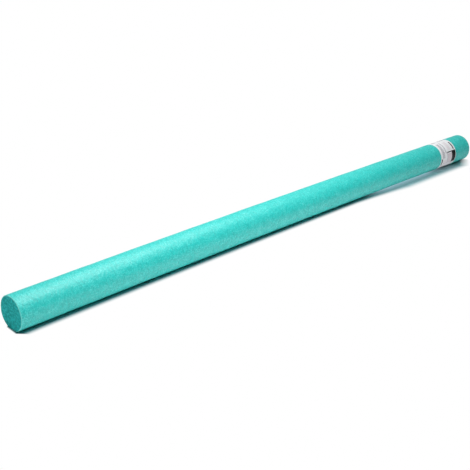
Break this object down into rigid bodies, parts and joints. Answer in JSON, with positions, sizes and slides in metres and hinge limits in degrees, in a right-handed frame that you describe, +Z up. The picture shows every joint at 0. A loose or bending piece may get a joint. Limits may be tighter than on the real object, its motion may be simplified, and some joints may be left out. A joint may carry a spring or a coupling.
{
  "type": "pool noodle",
  "caption": "Long solid round foam rod that floats, lying on its side, with plain cut ends and a printed label strip wrapped round it close to one end.",
  "frame": {"origin": "on the surface that the noodle lies on, under the middle of its bounding box", "axes": "+X along the noodle from the plain cut end to the end with the label, +Z up from the surface, +Y towards the side that it bows to"},
  "size_m": [1.2, 0.0646, 0.0585],
  "materials": {
    "foam": "closed-cell polyethylene foam with a fine pebbled skin, matt with a faint sheen; its cut ends are darker and show the cells",
    "label_film": "white printed label film, satin, with grey and black ink"
  },
  "bodies": {
    "root": {"foam_noodle": "foam", "label_band": "label_film"}
  },
  "joints": []
}
